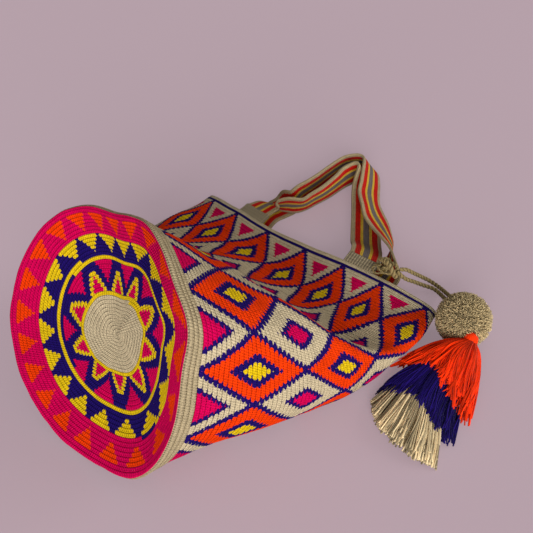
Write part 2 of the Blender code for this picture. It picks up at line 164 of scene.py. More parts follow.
def toLinear(hexColour):
    parts = [int(hexColour[k:k + 2], 16) / 255 for k in (0, 2, 4)]
    return (*[p / 12.92 if p <= 0.04045 else ((p + 0.055) / 1.055) ** 2.4 for p in parts], 1.0)


yarnColours = {
    "orange": "FF4003",
    "magenta": "DE0055",
    "navy": "200F66",
    "yellow": "F0C914",
    "cream": "D6C39E",
    "olive": "B8A47C",
    "cord": "A48F60",
    # ring: the cream of the ring rows by the base, painted darker as shade in their deep grooves
    "ring": "BBA884",
    "red": "D01808",
    "gold": "E2B93A",
    "grey": "766B68",
    "tan": "E6CD9A",
    "ivory": "F3DAAA",
    "flame": "FF3A06",
}


# the one helper for nodes: feeds go into the sockets in order, stops fill a stepped ramp
def addNode(tree, kind, *feeds, stops=None, **settings):
    node = tree.nodes.new("ShaderNode" + kind)
    for name, value in settings.items():
        setattr(node, name, value)
    for place, feed in enumerate(feeds):
        if isinstance(feed, bpy.types.NodeSocket):
            tree.links.new(feed, node.inputs[place])
        elif feed is not None:
            node.inputs[place].default_value = feed
    if stops:
        node.color_ramp.interpolation = "CONSTANT"
        while len(node.color_ramp.elements) < len(stops):
            node.color_ramp.elements.new(1.0)
        for element, (position, yarn) in zip(node.color_ramp.elements, stops):
            element.position = position
            element.color = toLinear(yarnColours[yarn])
    return node.outputs[0]


def startMaterial(name, roughness, sheen):
    made = bpy.data.materials.new(name)
    made.use_nodes = True
    shader = made.node_tree.nodes["Principled BSDF"]
    shader.inputs["Roughness"].default_value = roughness
    shader.inputs["Sheen Weight"].default_value = sheen
    shader.inputs["Sheen Roughness"].default_value = 0.45
    shader.inputs["Specular IOR Level"].default_value = 0.06
    return made, made.node_tree, shader


# spun cotton: a soft matt surface with fine lighter and darker fibres, and painted shade that darkens the gaps where
# the height is low, down to gap times the colour
def spinYarn(tree, shader, colour, height, depth, gap):
    place = addNode(tree, "TexCoord").node.outputs["Object"]
    fibre = addNode(tree, "TexNoise", place, None, 1 / (1.3 * mm), 2.0, 0.6)
    patch = addNode(tree, "TexNoise", place, None, 1 / (9 * mm), 2.0, 0.5)
    light = addNode(tree, "MapRange", fibre, 0.3, 0.7, 0.72, 1.16)
    worn = addNode(tree, "MapRange", patch, 0.3, 0.7, 0.92, 1.05)
    # painted shade: the colour darkens where the height is low, in the gaps between stitches, plies and threads
    gapShade = addNode(tree, "MapRange", height, 0.05, 0.6, gap, 1.0)
    shade = addNode(tree, "Math", light, worn, operation="MULTIPLY")
    shade = addNode(tree, "Math", shade, gapShade, operation="MULTIPLY")
    shaded = addNode(tree, "MixRGB", 1.0, colour, shade, blend_type="MULTIPLY")
    tree.links.new(shaded, shader.inputs["Base Color"])
    rough = addNode(tree, "Math", fibre, 0.15, height, operation="MULTIPLY_ADD")
    bump = addNode(tree, "Bump", 1.0, depth, None, rough)
    tree.links.new(bump, shader.inputs["Normal"])


# rows of single crochet: every row shows two slanted ribs, with a deeper gap before the next row
def crochetRows(tree, around, rows, stitches):
    row = addNode(tree, "Math", rows, operation="FLOOR")
    inRow = addNode(tree, "Math", rows, row, operation="SUBTRACT")
    belly = addNode(tree, "Math", inRow, 0.5, operation="PINGPONG")
    legs = addNode(tree, "Math", inRow, 0.25, operation="PINGPONG")
    count = addNode(tree, "Math", around, stitches, operation="MULTIPLY")
    count = addNode(tree, "Math", row, 0.5, count, operation="MULTIPLY_ADD")
    leant = addNode(tree, "Math", inRow, 0.7, count, operation="MULTIPLY_ADD")
    stitch = addNode(tree, "Math", leant, 0.5, operation="PINGPONG")
    gap = addNode(tree, "MapRange", belly, 0.0, 0.18, 0.0, 0.38, interpolation_type="SMOOTHSTEP")
    rib = addNode(tree, "MapRange", legs, 0.0, 0.14, 0.0, 0.18, interpolation_type="SMOOTHSTEP")
    bead = addNode(tree, "MapRange", stitch, 0.0, 0.3, 0.0, 0.44, interpolation_type="SMOOTHSTEP")
    height = addNode(tree, "Math", gap, rib, operation="ADD")
    height = addNode(tree, "Math", height, bead, operation="ADD")
    return row, belly, height


crochet = {
    "rowsPerRepeat": 24,
    "stitchesPerRepeat": 27,
    "baseRounds": 33,
    "repeats": 12,
    "toothRound": 0.07,
}


# edges between colours wander a little and end in round teeth, one to a row
def roundTeeth(tree, layout, belly, scale):
    wander = addNode(tree, "TexNoise", layout, None, scale, 1.0, 0.5)
    wander = addNode(tree, "MapRange", wander, 0.3, 0.7, -0.008, 0.022)
    return addNode(tree, "Math", belly, -crochet["toothRound"], wander, operation="MULTIPLY_ADD")


# tapestry crochet in mercerised cotton: flat bright fields with toothed edges
def wallCrochet():
    made, tree, shader = startMaterial("tapestryCrochetWall", 0.85, 0.0)
    layout = addNode(tree, "UVMap", uv_map="layout")
    split = addNode(tree, "SeparateXYZ", layout).node
    around, upwards = split.outputs["X"], split.outputs["Y"]
    rows = addNode(tree, "Math", upwards, crochet["rowsPerRepeat"], operation="MULTIPLY")
    row, belly, height = crochetRows(tree, around, rows, crochet["stitchesPerRepeat"])
    v = addNode(tree, "Math", row, 0.5, operation="ADD")
    v = addNode(tree, "Math", v, crochet["rowsPerRepeat"], operation="DIVIDE")
    across = addNode(tree, "Math", around, 0.5, operation="PINGPONG")
    up = addNode(tree, "Math", v, 0.5, operation="PINGPONG")
    up = addNode(tree, "Math", 0.5, up, operation="SUBTRACT")
    reach = addNode(tree, "Math", across, up, operation="ADD")
    reach = addNode(tree, "Math", reach, roundTeeth(tree, layout, belly, 30.0), operation="ADD")
    inner = ((0.0, "yellow"), (0.12, "navy"), (0.235, "orange"), (0.452, "navy"), (0.54, "cream"))
    full = addNode(tree, "ValToRGB", reach, stops=inner + ((0.765, "navy"), (0.845, "magenta")))
    low = addNode(tree, "ValToRGB", reach, stops=inner + ((0.69, "navy"), (0.76, "magenta")))
    high = addNode(tree, "ValToRGB", reach, stops=inner + ((0.69, "magenta"),))
    isLow = addNode(tree, "Math", v, 0.5, operation="LESS_THAN")
    isHigh = addNode(tree, "Math", v, 2.5, operation="GREATER_THAN")
    rim = addNode(tree, "ValToRGB", addNode(tree, "MapRange", v, 2.9, 3.3, 0.0, 1.0), stops=(
        (0.0, "cream"), (0.24, "navy"), (0.36, "cream")))
    nearRim = addNode(tree, "Math", v, 2.93, operation="GREATER_THAN")
    inLattice = addNode(tree, "Math", reach, 0.54, operation="GREATER_THAN")
    pastRim = addNode(tree, "Math", v, 2.99, operation="GREATER_THAN")
    rimShows = addNode(tree, "Math", nearRim, inLattice, operation="MULTIPLY")
    rimShows = addNode(tree, "Math", rimShows, pastRim, operation="MAXIMUM")
    ring = addNode(tree, "Math", v, 0.01, operation="LESS_THAN")
    colour = addNode(tree, "MixRGB", isLow, full, low)
    colour = addNode(tree, "MixRGB", isHigh, colour, high)
    colour = addNode(tree, "MixRGB", rimShows, colour, rim)
    # painted shade: the ring rows by the base take the darker ring cream
    colour = addNode(tree, "MixRGB", ring, colour, toLinear(yarnColours["ring"]))
    spinYarn(tree, shader, colour, height, 1.0 * mm, gap=0.33)
    return made


# the star of the base and the rings round it: inner, tip, end, outer and the rings are shares of its radius
baseStar = {
    "points": 10.0,
    "phase": -0.325,
    "inner": 0.345,
    "tip": 0.505,
    "end": 0.53,
    "outer": 0.572,
    "wide": 0.8,
    "heart": 0.29,
    "wedge": (0.405, 0.34),
    "rings": ((0.0, "cream"), (0.31, "yellow"), (0.345, "navy"), (0.5757, "yellow"), (0.606, "navy"),
              (0.776, "magenta")),
    "teeth": (("yellow", 18.0, 0.08, 0.64, 0.776, 0.93), ("orange", 21.0, 0.0, 0.81, 0.955, 0.76)),
}


# the same crochet worked in rounds: cream spiral, star, yellow and orange teeth
def baseCrochet():
    made, tree, shader = startMaterial("tapestryCrochetBase", 0.85, 0.0)
    layout = addNode(tree, "UVMap", uv_map="layout")
    split = addNode(tree, "SeparateXYZ", layout).node
    spiral = addNode(tree, "Math", split.outputs["X"], 1 / crochet["repeats"], operation="MULTIPLY")
    rounds = addNode(tree, "Math", split.outputs["Y"], crochet["baseRounds"], spiral, operation="MULTIPLY_ADD")
    perRound = addNode(tree, "Math", rounds, operation="FLOOR")
    perRound = addNode(tree, "Math", perRound, 9.0, 6.0, operation="MULTIPLY_ADD")
    row, belly, height = crochetRows(tree, spiral, rounds, perRound)
    share = addNode(tree, "Math", row, 0.5, operation="ADD")
    share = addNode(tree, "Math", share, spiral, operation="SUBTRACT")
    share = addNode(tree, "Math", share, crochet["baseRounds"], operation="DIVIDE")
    bend = addNode(tree, "Math", spiral, 2 * math.pi, -2 * math.pi * 0.19, operation="MULTIPLY_ADD")
    bend = addNode(tree, "Math", bend, operation="COSINE")
    turn = addNode(tree, "Math", bend, -1 / 36, 1 / 36, operation="MULTIPLY_ADD")
    turn = addNode(tree, "Math", spiral, turn, operation="ADD")
    teeth = roundTeeth(tree, layout, belly, 30.0)

    def tooth(start, count, phase):
        way = addNode(tree, "Math", start, count, phase, operation="MULTIPLY_ADD")
        way = addNode(tree, "Math", way, 0.5, operation="PINGPONG")
        way = addNode(tree, "Math", way, -2.0, 1.0, operation="MULTIPLY_ADD")
        return addNode(tree, "Math", teeth, 2.0, way, operation="MULTIPLY_ADD")

    star = tooth(spiral, baseStar["points"], baseStar["phase"])
    inner, outer = baseStar["inner"], baseStar["outer"]
    rings = addNode(tree, "ValToRGB", share, stops=baseStar["rings"])
    inStar = addNode(tree, "Math", share, outer, operation="LESS_THAN")
    pastRing = addNode(tree, "Math", share, inner, operation="GREATER_THAN")
    inStar = addNode(tree, "Math", inStar, pastRing, operation="MULTIPLY")
    point = addNode(tree, "MapRange", share, inner, baseStar["end"], baseStar["wide"], 0.0)
    inPoint = addNode(tree, "Math", star, point, operation="LESS_THAN")
    beforeTip = addNode(tree, "Math", share, baseStar["tip"], operation="LESS_THAN")
    inPoint = addNode(tree, "Math", inPoint, beforeTip, operation="MULTIPLY")
    heart = addNode(tree, "Math", point, baseStar["heart"], operation="SUBTRACT")
    inHeart = addNode(tree, "Math", star, heart, operation="LESS_THAN")
    wedge = addNode(tree, "MapRange", share, baseStar["wedge"][0], outer, 1.0, baseStar["wedge"][1])
    inWedge = addNode(tree, "Math", star, wedge, operation="GREATER_THAN")
    starColour = addNode(tree, "MixRGB", inPoint, toLinear(yarnColours["navy"]), toLinear(yarnColours["yellow"]))
    starColour = addNode(tree, "MixRGB", inHeart, starColour, toLinear(yarnColours["magenta"]))
    starColour = addNode(tree, "MixRGB", inWedge, starColour, toLinear(yarnColours["magenta"]))
    colour = addNode(tree, "MixRGB", inStar, rings, starColour)
    for name, count, phase, first, last, wide in baseStar["teeth"]:
        edge = addNode(tree, "MapRange", share, first, last, 0.0, wide)
        inside = addNode(tree, "Math", tooth(turn, count, phase), edge, operation="LESS_THAN")
        past = addNode(tree, "Math", share, first, operation="GREATER_THAN")
        short = addNode(tree, "Math", share, last, operation="LESS_THAN")
        inside = addNode(tree, "Math", inside, past, operation="MULTIPLY")
        inside = addNode(tree, "Math", inside, short, operation="MULTIPLY")
        colour = addNode(tree, "MixRGB", inside, colour, toLinear(yarnColours[name]))
    spinYarn(tree, shader, colour, height, 1.0 * mm, gap=0.33)
    return made


# plain cream cotton crochet of the tabs: ridges that lead away from the rim and a few seams along it
def tabCrochet():
    made, tree, shader = startMaterial("creamCrochet", 0.85, 0.05)
    layout = addNode(tree, "UVMap", uv_map="layout")
    split = addNode(tree, "SeparateXYZ", layout).node
    ridge = addNode(tree, "Math", split.outputs["Y"], 0.5, operation="PINGPONG")
    seam = addNode(tree, "Math", split.outputs["X"], 0.5, operation="PINGPONG")
    ridge = addNode(tree, "MapRange", ridge, 0.0, 0.4, 0.1, 1.0, interpolation_type="SMOOTHSTEP")
    seam = addNode(tree, "MapRange", seam, 0.0, 0.15, 0.35, 1.0, interpolation_type="SMOOTHSTEP")
    height = addNode(tree, "Math", ridge, seam, operation="MULTIPLY")
    spinYarn(tree, shader, toLinear(yarnColours["cream"]), height, 0.9 * mm, gap=0.25)
    return made


# warp-faced woven band: coloured warp stripes and a thicker corded edge
def stripedWebbing():
    made, tree, shader = startMaterial("stripedWebbing", 0.8, 0.05)
    layout = addNode(tree, "UVMap", uv_map="layout")
    split = addNode(tree, "SeparateXYZ", layout).node
    picks = addNode(tree, "Math", split.outputs["Y"], 1 / (2.2 * mm), operation="MULTIPLY")
    pick = addNode(tree, "Math", picks, 0.5, operation="PINGPONG")
    saw = addNode(tree, "Math", pick, 0.045, split.outputs["X"], operation="MULTIPLY_ADD")
    stripes = addNode(tree, "ValToRGB", saw, stops=(
        (0.0, "olive"), (0.13, "red"), (0.315, "gold"), (0.405, "grey"), (0.605, "gold"),
        (0.695, "red"), (0.875, "olive")))
    threads = addNode(tree, "Math", split.outputs["X"], 17.0, operation="MULTIPLY")
    thread = addNode(tree, "Math", threads, 0.5, operation="PINGPONG")
    along = addNode(tree, "MapRange", pick, 0.0, 0.4, 0.45, 1.0, interpolation_type="SMOOTHSTEP")
    ridge = addNode(tree, "MapRange", thread, 0.0, 0.3, 0.3, 1.0, interpolation_type="SMOOTHSTEP")
    height = addNode(tree, "Math", along, ridge, operation="MULTIPLY")
    spinYarn(tree, shader, stripes, height, 0.35 * mm, gap=0.62)
    return made


# loose cotton yarn, a little different from strand to strand, with painted shade that darkens each strand towards its
# root
def looseYarn(name, yarn, darkest):
    made, tree, shader = startMaterial(name, 0.7, 0.05)
    layout = addNode(tree, "UVMap", uv_map="layout")
    split = addNode(tree, "SeparateXYZ", layout).node
    shade = addNode(tree, "MapRange", split.outputs["X"], 0.0, 1.0, darkest, 1.15)
    # painted shade: darker towards the root, where strands lie under others
    root = addNode(tree, "MapRange", split.outputs["Y"], 0.0, 0.6, 0.55, 1.0)
    shade = addNode(tree, "Math", shade, root, operation="MULTIPLY")
    colour = addNode(tree, "MixRGB", 1.0, toLinear(yarnColours[yarn]), shade, blend_type="MULTIPLY")
    tree.links.new(colour, shader.inputs["Base Color"])
    return made


def makePiece(name, bm, materials, slotName, replaced):
    mesh = bpy.data.meshes.new(name)
    bm.to_mesh(mesh)
    bm.free()
    for material in materials:
        mesh.materials.append(material)
    mesh.polygons.foreach_set("use_smooth", [True] * len(mesh.polygons))
    piece = bpy.data.objects.new(name, mesh)
    bpy.context.scene.collection.objects.link(piece)
    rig.ride(piece, "root")
    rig.slot(piece, slotName)
    if replaced:
        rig.replaces(piece, *replaced)
    return piece


# a grid of across by along faces, laid on a surface by place(a, b) with its own layout written to the UV map
def layGrid(bm, across, along, place, layout):
    uvs = bm.loops.layers.uv.get("layout") or bm.loops.layers.uv.new("layout")
    grown = bmesh.ops.create_grid(bm, x_segments=across, y_segments=along, size=0.5)["verts"]
    spots = {vert: (vert.co.x + 0.5, vert.co.y + 0.5) for vert in grown}
    for face in {face for vert in grown for face in vert.link_faces}:
        middle = sum(spots[vert][1] for vert in face.verts) / 4
        for loop in face.loops:
            loop[uvs].uv = layout(*spots[loop.vert], middle)
    for vert in grown:
        vert.co = place(*spots[vert])
    return grown


# a smooth curve from b to c, with a before and d after them, at t from 0 to 1
def curveAt(a, b, c, d, t):
    return 0.5 * (2 * b + (c - a) * t + (2 * a - 5 * b + 4 * c - d) * t ** 2
                  + (3 * b - a - 3 * c + d) * t ** 3)


def smoothPath(points, count):
    path = []
    last = len(points) - 1
    for k in range(count):
        spot = last * k / (count - 1)
        i = min(int(spot), last - 1)
        t = spot - i
        b, c = points[i], points[i + 1]
        a = points[i - 1] if i else 2 * b - c
        d = points[i + 2] if i + 2 <= last else 2 * c - b
        path.append(curveAt(a, b, c, d, t))
    return path


# places in cm, one to a repeat: tip is the row two repeats up, rim the last row, bow bends the wall below tip
bag = {
    "radius": 11.85 * cm,
    "firstAngle": 20,
    "oval": (0.5 * cm, 0.9),
    "flat": (0.85 * cm, 3.1),
    "warp": (0.9 * cm, 0.125),
    "height": 9.4 * cm,
    "lean": 35.5,
    "turn": 12.8,
    "dish": 2.8 * cm,
    "drag": 0.4 * cm,
    "crestLift": 1.0 * cm,
    "crestSink": 1.2 * cm,
    "thickness": 3 * mm,
    "foldRoom": 6 * mm,
    "edgeRow": -0.13,
    "rimRow": 3.18,
    "guideRows": (-0.13, 1.0, 2.0, 2.5, 3.18),
    "tip": ((13.7, -19.0, 4.2), (14.6, -13.9, 4.1), (15.2, -9.2, 3.6), (16.2, -3.9, 3.3),
            (17.2, 1.8, 3.0), (17.2, 7.4, 2.2), (16.6, 11.8, 1.3), (15.0, 7.4, 0.2),
            (13.0, 2.0, 0.2), (12.2, -4.0, 0.2), (12.4, -10.0, 0.2), (12.9, -17.2, 0.9)),
    "rim": ((23.2, -19.6, 1.4), (23.7, -14.2, 1.8), (23.6, -9.6, 2.3), (24.0, -4.6, 1.7),
            (24.6, 0.8, 1.2), (25.6, 6.2, 0.9), (26.4, 11.2, 0.8), (24.8, 6.2, 0.2),
            (23.4, 1.0, 0.2), (22.6, -4.4, 0.2), (22.4, -10.0, 0.2), (22.6, -15.4, 0.2)),
    "bow": ((0.4, -0.8, -0.6), (0.2, -0.6, 0.9), (0.0, -0.4, 0.2), (-0.4, 0.0, -0.8),
            (-0.5, 0.0, -1.0), (-0.3, 0.3, -0.8), (0.0, 0.6, -0.3), (0.0, 0.4, -0.4),
            (0.0, 0.0, 0.0), (0.0, 0.0, 0.0), (0.0, 0.0, -0.8), (0.3, -1.2, -0.9)),
    "sag": Vector((-0.7, -0.5, -0.9)) * cm,
    "folds": ((6.0, 2.1, 0.8, 0.5, (0.0, 0.8, 0.5)), (-0.15, 2.5, 0.7, 0.45, (0.1, -1.0, 0.3))),
    "slips": ((6.3, 0.9, 0.75, 1.3, 2.0), (0.1, 0.75, -0.28, 1.9, 2.5)),
    "lift": (3.3, 1.8, 1.95, 0.28, 0.12),
    "heart": (-0.65 * cm, 0.35 * cm, 0.42),
    "rowRelief": 0.2 * mm,
    "ringRelief": 1.0 * mm,
    "edgeSoft": (-0.85, -0.35, 0.0, -0.55, 0.05, 0.8, 0.4, -0.65, -0.6, -0.45, 0.1, -0.6),
    "edgeBump": (1.5, 0.4, 0.9 * cm),
    "crestShape": (1.55, 0.75, 0.3, 0.75, 0.45),
    "pull": (6.31, 0.13, 0.02, 0.57),
    "dents": ((1.1 * mm, 3.1 * cm), (0.3 * mm, 0.9 * cm)),
    "ringFaces": 10,
    "patternRows": ((-0.13, -0.13), (1.6, 1.6), (1.89, 2.0), (2.43, 2.5), (3.07, 3.0), (3.18, 3.1)),
}
repeats = crochet["repeats"]


def onGround(point):
    return Vector((point.x, point.y, max(point.z, bag["thickness"] / 2)))


def baseAxes():
    lean, turn = math.radians(bag["lean"]), math.radians(bag["turn"])
    out = Vector((-math.cos(lean) * math.cos(turn), math.cos(lean) * math.sin(turn), math.sin(lean)))
    side = Vector((math.sin(turn), math.cos(turn), 0.0))
    rise = out.cross(side)
    return out, side, rise if rise.z > 0 else -rise


baseOut, baseSide, baseRise = baseAxes()
baseMiddle = Vector((-0.5 * cm, 0.0, bag["height"]))


@functools.lru_cache(maxsize=None)
def baseEdge(u):
    (oval, ovalAt), (flat, flatAt), (warp, warpAt) = bag["oval"], bag["flat"], bag["warp"]
    angle = 2 * math.pi * (u / repeats) + math.radians(bag["firstAngle"])
    wave = 2 * math.pi * 2 * u / repeats
    radius = bag["radius"] + oval * math.cos(wave - 2 * math.pi * ovalAt)
    radius -= flat * math.exp(-((u % repeats) - flatAt) ** 2)
    index = math.floor(u)
    t = u - index
    a, b, c, d = (bag["edgeSoft"][(index + k) % repeats] * cm for k in (-1, 0, 1, 2))
    radius += curveAt(a, b, c, d, t)
    middle, wide, high = bag["edgeBump"]
    radius += high * math.exp(-(((u + 1) % repeats - middle) / wide) ** 2)
    point = baseMiddle + radius * (math.sin(angle) * baseRise - math.cos(angle) * baseSide)
    return onGround(point + warp * math.cos(wave - 2 * math.pi * warpAt) * baseOut)


def alongRow(row, u):
    index = math.floor(u)
    t = u - index
    a, b, c, d = (Vector(row[(index + k) % repeats]) * cm for k in (-1, 0, 1, 2))
    return curveAt(a, b, c, d, t)


def foldRoom(u):
    across = math.sin(2 * math.pi * u / repeats)
    return math.copysign(bag["foldRoom"], across) * (1 - (1 - abs(across)) ** 4)


@functools.lru_cache(maxsize=None)
def guideRow(index, u):
    if index == 0:
        return baseEdge(u)
    tip = alongRow(bag["tip"], u) + Vector((0, 0, 0.5 * foldRoom(u)))
    if index == 2:
        return onGround(tip)
    if index == 1:
        return onGround(0.48 * baseEdge(u) + 0.52 * tip + alongRow(bag["bow"], u))
    rim = alongRow(bag["rim"], u) + Vector((0, 0, foldRoom(u)))
    if index == 4:
        return onGround(rim)
    return onGround(0.5 * (tip + rim) + max(0.0, math.sin(2 * math.pi * u / repeats)) * bag["sag"])


def crest(u, v):
    past = (u + repeats / 2) % repeats - repeats / 2 + v - 2
    up, high, wide, dipPlace, dipWide = bag["crestShape"]
    along = max(0.0, 1 - ((v - up) / high) ** 2)
    ridge = math.exp(-(past / wide) ** 2)
    dip = math.exp(-((past - dipPlace) / dipWide) ** 2)
    return along * (bag["crestLift"] * ridge - bag["crestSink"] * dip)


# the middle of the crochet at u repeats round the bag and v repeats up from the base
def wallPoint(u, v):
    marks = bag["guideRows"]
    rows = [guideRow(k, u) for k in range(len(marks))]
    spans = [marks[k + 1] - marks[k] for k in range(len(marks) - 1)]
    slopes = [(rows[k + 1] - rows[k]) / spans[k] for k in range(len(spans))]
    k = max(i for i in range(len(spans)) if v >= marks[i] - 1e-6)

    def slopeAt(i):
        if i == 0:
            return slopes[0]
        if i == len(rows) - 1:
            return slopes[-1]
        return (slopes[i - 1] * spans[i] + slopes[i] * spans[i - 1]) / (spans[i - 1] + spans[i])

    t = (v - marks[k]) / spans[k]
    start, end = slopeAt(k) * spans[k], slopeAt(k + 1) * spans[k]
    point = (2 * t ** 3 - 3 * t ** 2 + 1) * rows[k] + (t ** 3 - 2 * t ** 2 + t) * start
    point += (3 * t ** 2 - 2 * t ** 3) * rows[k + 1] + (t ** 3 - t ** 2) * end
    for turn, up, wide, high, push in bag["folds"]:
        past = (u - turn + repeats / 2) % repeats - repeats / 2
        point += Vector(push) * cm * math.exp(-(past / wide) ** 2 - ((v - up) / high) ** 2)
    return onGround(point + Vector((0, 0, crest(u, v))))


def basePoint(share, u):
    flat = baseMiddle + (baseEdge(u) - baseMiddle) * share
    rise, out, reach = bag["heart"]
    heart = (rise * baseRise + out * baseOut) * math.exp(-(share / reach) ** 4)
    return onGround(flat + (bag["drag"] * baseRise - bag["dish"] * baseOut) * (1 - share ** 1.8) + heart)


# towards the mouth the pattern is pulled a little round the two folds
def slipped(u, v):
    moved = u
    for turn, wide, slip, first, last in bag["slips"]:
        share = min(1.0, max(0.0, (v - first) / (last - first)))
        past = (u - turn + repeats / 2) % repeats - repeats / 2
        moved += share * slip * math.exp(-(past / wide) ** 2)
    return moved


def buildBag():
    wallRows = round((bag["rimRow"] - bag["edgeRow"]) * crochet["rowsPerRepeat"])
    baseFaces, wallFaces = 3 * crochet["baseRounds"], 3 * wallRows
    total = baseFaces + wallFaces
    around = 12 * repeats

    def rowAt(b):
        step = b * total
        if step <= baseFaces + 1e-6:
            return True, step / baseFaces
        return False, bag["edgeRow"] + (step - baseFaces) / wallFaces * (bag["rimRow"] - bag["edgeRow"])

    def place(a, b):
        onBase, row = rowAt(b)
        u = round(a * around) % around / around * repeats
        return basePoint(row, u) if onBase else wallPoint(u, row)

    def layout(a, b, middle):
        if middle * total < baseFaces:
            share = b * total / baseFaces
            start, twice, once, reach = bag["pull"]
            turn = 2 * math.pi * (a * repeats - start) / repeats
            pull = twice * math.cos(2 * turn) + once * math.cos(turn)
            return a * repeats, share * (1 - pull * max(0.0, 1 - (share / reach) ** 2))
        row = bag["edgeRow"] + (b * total - baseFaces) / wallFaces * (bag["rimRow"] - bag["edgeRow"])
        turn, wide, up, high, lift = bag["lift"]
        lift *= math.exp(-((a * repeats - turn) / wide) ** 4 - ((row - up) / high) ** 2)
        for (low, drawnLow), (high, drawnHigh) in zip(bag["patternRows"], bag["patternRows"][1:]):
            if row <= high + 1e-6:
                drawn = drawnLow + (row - low) / (high - low) * (drawnHigh - drawnLow)
                return slipped(a * repeats, row), drawn + lift

    bm = bmesh.new()
    relief = bm.verts.layers.float.new("relief")
    for vert in layGrid(bm, around, total, place, layout):
        vert[relief] = 0.0
    for index, face in enumerate(bm.faces):
        face.material_index = 1 if index // around < baseFaces else 0
    for index, vert in enumerate(bm.verts):
        row = index // (around + 1)
        ridge = 1.0 if row % 3 else -1.0
        inRing = 0 < row - baseFaces < bag["ringFaces"]
        vert[relief] = ridge * (bag["ringRelief"] if inRing else bag["rowRelief"])
        if row < 2 or row > total - 2:
            vert[relief] = 0.0
    bmesh.ops.remove_doubles(bm, verts=bm.verts, dist=1e-6)
    bmesh.ops.recalc_face_normals(bm, faces=bm.faces)
    bm.normal_update()
    moves = []
    for vert in bm.verts:
        soft = sum(depth * noise.noise(vert.co / size) for depth, size in bag["dents"])
        moves.append(vert.co + vert.normal * (vert[relief] + soft))
    for vert, spot in zip(bm.verts, moves):
        vert.co = onGround(spot)
    piece = makePiece("crochetBag", bm, (wallCrochet(), baseCrochet()), "tapestry_crochet", ["crochet_body"])
    thick = piece.modifiers.new("thickness", "SOLIDIFY")
    thick.thickness = bag["thickness"]
    thick.offset = 0.0


# tabs: where each begins and ends, in repeats; routes: the band's two edges in cm, and how much it narrows
straps = {
    "width": 3.4 * cm,
    "thickness": 2.4 * mm,
    "tabLength": 1.4 * cm,
    "tabThickness": 3.6 * mm,
    "tabRidges": 12,
    "tabSeams": 3,
    "tabRelief": 0.5 * mm,
    "gap": 0.4 * mm,
    "faces": 16,
    "linksPerPlace": 8,
    "bow": (0.5 * mm, 9),
    "rounding": 0.6 * mm,
    "frontTabs": ((5.0, 4.3), (1.35, 2.1)),
    "backTabs": ((7.8, 7.1), (10.3, 10.95)),
    "frontRoute": (((28.3, 5.3, 1.3), (27.7, 2.3, 2.0)), ((28.8, 4.1, 0.9), (27.4, 2.1, 2.9)),
                   ((28.9, 2.9, 0.65), (27.5, 1.8, 3.5)), ((29.2, 1.9, 0.6), (28.1, 1.1, 3.7)),
                   ((29.75, 1.1, 0.45), (28.6, 0.6, 3.5)), ((30.9, 0.6, 0.25), (29.4, -0.1, 3.2)),
                   ((32.4, 0.1, 0.25), (30.8, -0.4, 3.2)), ((34.2, -0.5, 0.25), (32.6, -0.8, 3.2)),
                   ((36.6, -1.0, 0.25), (35.1, -1.0, 3.2)), ((38.0, -1.5, 0.25), (36.7, -1.0, 3.3)),
                   ((39.5, -2.1, 0.25), (38.2, -1.6, 3.3)), ((39.4, -3.3, 0.25), (38.1, -2.3, 3.0)),
                   ((37.5, -5.0, 0.22), (35.9, -3.2, 1.9)), ((35.8, -6.4, 0.2), (34.3, -3.9, 1.3)),
                   ((33.6, -7.8, 0.2), (32.3, -4.9, 1.1)), ((31.4, -9.1, 0.25), (30.0, -6.2, 1.1)),
                   ((29.4, -10.3, 0.6), (28.0, -7.3, 1.4)), ((27.4, -11.5, 1.5), (26.7, -8.3, 2.2))),
    "backRoute": (((27.3, 2.2, 0.25), (27.8, 5.5, 0.3)), ((28.5, 1.8, 0.22), (29.5, 4.9, 0.4)),
                  ((29.7, 1.3, 0.22), (30.7, 4.1, 0.9)), ((30.7, 1.2, 0.22), (30.4, 2.0, 2.1), 0.82),
                  ((32.2, 1.8, 0.22), (31.5, 1.6, 3.0), 0.95), ((34.6, 1.5, 0.22), (33.6, 1.0, 3.1)),
                  ((36.9, 1.3, 0.22), (36.0, 0.65, 3.1)), ((39.5, 0.8, 0.22), (38.5, 0.15, 3.1)),
                  ((41.1, -0.2, 0.22), (39.8, -0.8, 3.1)), ((41.6, -1.7, 0.25), (40.0, -1.6, 3.1)),
                  ((40.9, -3.3, 0.3), (39.4, -2.1, 3.1)), ((38.9, -4.7, 0.6), (36.6, -3.4, 2.7)),
                  ((37.1, -5.7, 0.8), (34.6, -4.3, 2.5)), ((35.4, -6.7, 0.85), (32.7, -5.8, 2.6)),
                  ((34.2, -7.9, 0.85), (31.3, -7.0, 2.3)), ((33.1, -9.1, 0.8), (30.1, -8.6, 2.3)),
                  ((31.8, -10.2, 0.75), (29.0, -10.3, 2.6)), ((30.3, -11.2, 0.7), (27.8, -12.1, 2.8)),
                  ((28.6, -11.5, 0.45), (26.9, -13.2, 2.3)), ((27.0, -11.2, 0.25), (26.1, -14.4, 0.9)),
                  ((25.5, -11.2, 0.25), (24.9, -14.5, 0.6))),
}


def rimPlace(u):
    edge = wallPoint(u, bag["rimRow"])
    out = edge - wallPoint(u, bag["rimRow"] - 0.2)
    out.z = 0.0
    return edge, out.normalized()


